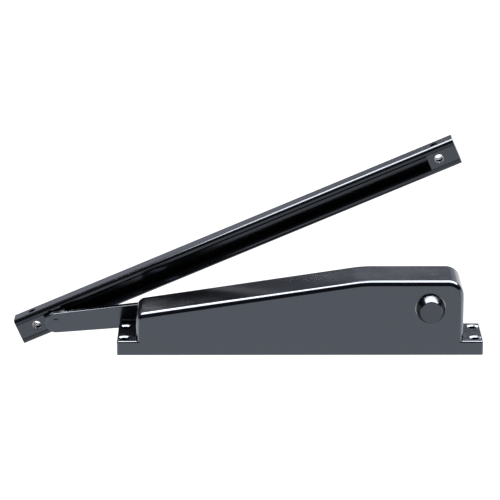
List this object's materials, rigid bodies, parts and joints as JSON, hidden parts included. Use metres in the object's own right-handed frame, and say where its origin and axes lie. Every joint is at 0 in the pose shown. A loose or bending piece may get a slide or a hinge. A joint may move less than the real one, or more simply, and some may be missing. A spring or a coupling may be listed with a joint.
{
  "type": "door closer",
  "caption": "Slide-rail door closer: a wedge-shaped body with screw feet, a spring and rack-and-pinion drive, a flat arm and a slotted guide rail.",
  "frame": {"origin": "centre of the four screw holes, on the body's flat mounting face", "axes": "+X along the body towards the spindle end, +Y along the spindle towards the arm and rail, +Z out from the mounting face"},
  "size_m": [0.2935, 0.072, 0.1342],
  "materials": {
    "body_paint": "die-cast aluminium with smooth semi-gloss black paint",
    "rail_paint": "extruded aluminium with semi-gloss black paint",
    "arm_paint": "flat steel bar with semi-gloss black paint",
    "cap_plastic": "moulded black plastic, semi-gloss",
    "block_plastic": "moulded black plastic, satin",
    "ground_steel": "ground and hardened steel",
    "spring_steel": "oiled spring steel",
    "zinc_steel": "zinc-plated steel",
    "bearing_bronze": "sintered bronze",
    "seal_rubber": "nitrile rubber",
    "ring_plastic": "natural low-friction plastic"
  },
  "bodies": {
    "housing": {"housing": "body_paint", "end_plug": "zinc_steel", "end_plug_ring": "seal_rubber", "spring_seat": "zinc_steel", "main_spring": "spring_steel", "front_bearing": "bearing_bronze", "rear_bearing": "bearing_bronze", "front_seal": "seal_rubber", "rear_seal": "seal_rubber", "front_nut": "zinc_steel", "front_nut_ring": "seal_rubber", "spindle_cap": "cap_plastic"},
    "arm": {"spindle": "ground_steel", "arm": "arm_paint", "arm_screw": "zinc_steel", "pivot_rivet": "arm_paint", "pivot_washer": "ring_plastic"},
    "slider": {"slider": "block_plastic"},
    "rail": {"rail": "rail_paint", "end_block_low": "block_plastic", "end_block_high": "block_plastic"},
    "piston": {"piston": "ground_steel", "piston_rings": "ring_plastic", "check_valve_cap": "zinc_steel"},
    "check_ball": {"check_ball": "ground_steel"},
    "closing_valve": {"closing_valve": "zinc_steel", "closing_valve_ring": "seal_rubber"},
    "latching_valve": {"latching_valve": "zinc_steel", "latching_valve_ring": "seal_rubber"}
  },
  "joints": [
    {"name": "arm_swing", "type": "hinge", "parent": "housing", "child": "arm", "pos_m": [0.08, 0, 0.0302], "axis": [0, 1, 0], "range_deg": [0, 130], "stiffness_Nm_per_rad": 1.2, "springref_deg": -143.24},
    {"name": "slider_pivot", "type": "hinge", "parent": "arm", "child": "slider", "pos_m": [-0.153, 0, 0.0075], "axis": [0, 1, 0], "continuous": true},
    {"name": "rail_slide", "type": "slide", "parent": "slider", "child": "rail", "axis": [-0.918, 0, -0.3967], "range_m": [0, 0.245]},
    {"name": "piston_slide", "type": "slide", "parent": "housing", "child": "piston", "axis": [-1, 0, 0], "range_m": [0, 0.0115], "deforming": ["main_spring"]},
    {"name": "check_ball_slide", "type": "slide", "parent": "piston", "child": "check_ball", "axis": [1, 0, 0], "range_m": [0, 0.0009]},
    {"name": "closing_valve_turn", "type": "hinge", "parent": "housing", "child": "closing_valve", "pos_m": [0.0995, -0.007, 0.034], "axis": [1, 0, 0], "range_deg": [-90, 360]},
    {"name": "latching_valve_turn", "type": "hinge", "parent": "housing", "child": "latching_valve", "pos_m": [0.0995, 0.007, 0.034], "axis": [1, 0, 0], "range_deg": [-90, 360]}
  ],
  "couplings": [
    {"joint": "piston_slide", "follows": "arm_swing", "m_per_rad": 0.005}
  ]
}
